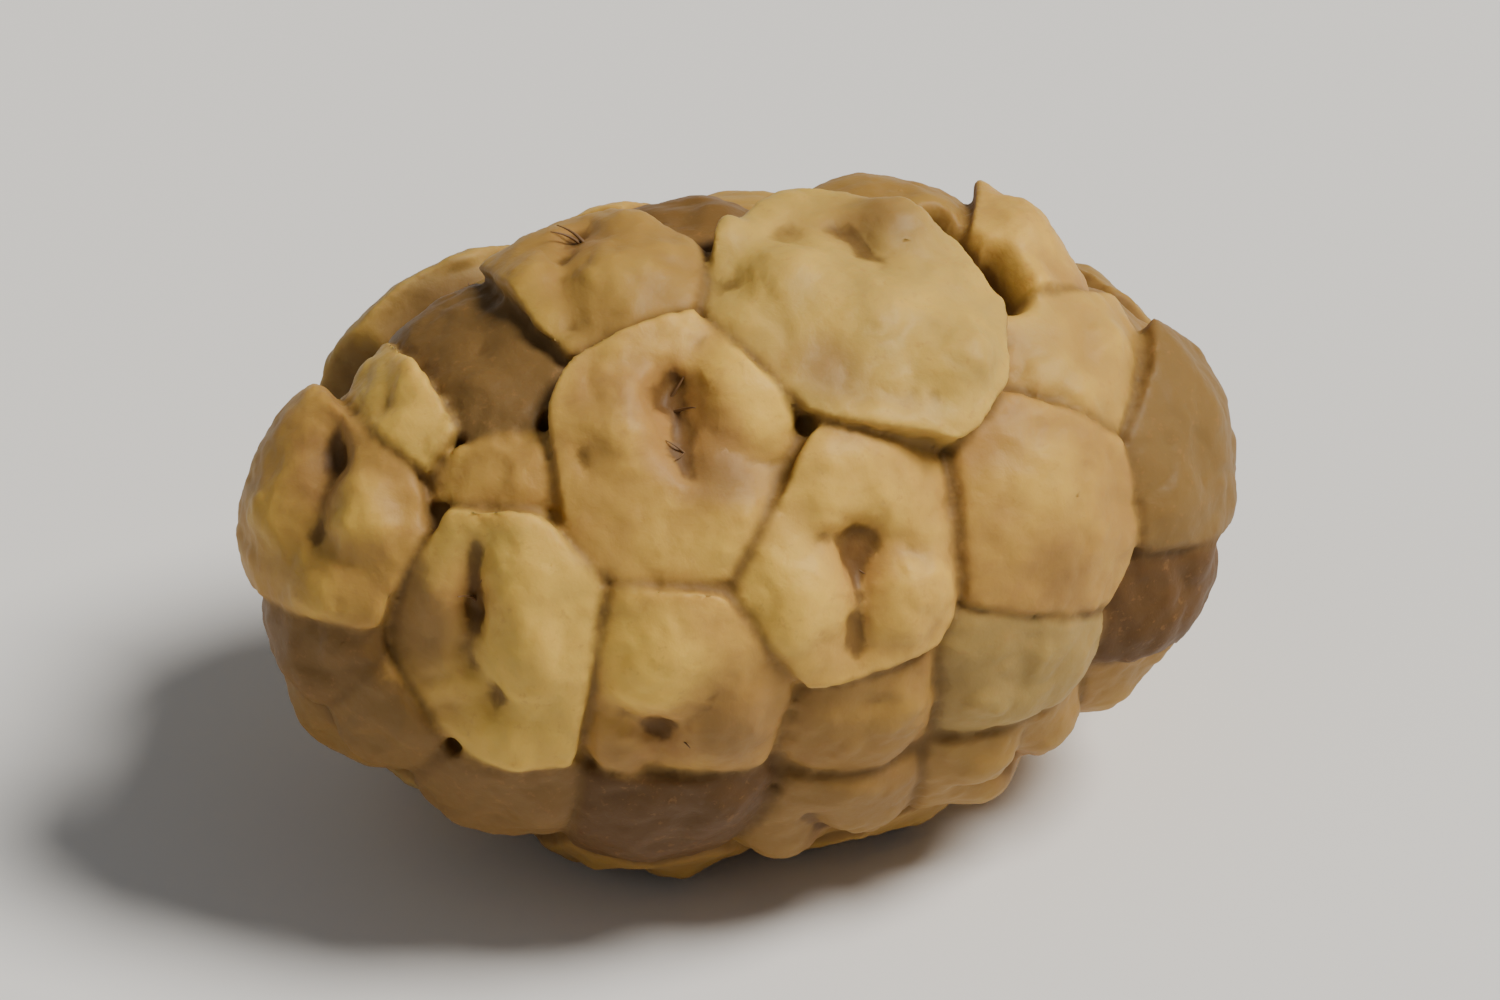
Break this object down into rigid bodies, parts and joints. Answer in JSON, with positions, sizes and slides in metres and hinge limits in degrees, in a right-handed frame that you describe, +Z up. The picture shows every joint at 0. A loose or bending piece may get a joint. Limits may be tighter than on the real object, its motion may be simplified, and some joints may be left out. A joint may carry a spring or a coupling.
{
  "type": "dried mulberry",
  "caption": "Dried white mulberry lying on its side: plump four-lobed drupelets packed round one axis, with a short stalk stub.",
  "frame": {"origin": "on the surface the fruit rests on, under the middle of its outline", "axes": "+X along the fruit's own axis towards the stalk, +Z up"},
  "size_m": [0.0154, 0.0104, 0.0103],
  "materials": {
    "fruit_skin": "waxy satin, golden tan with browner seams",
    "dry_stalk": "dry and fibrous, straw brown"
  },
  "bodies": {
    "root": {"fruit": "fruit_skin", "stalk": "dry_stalk"}
  },
  "joints": []
}
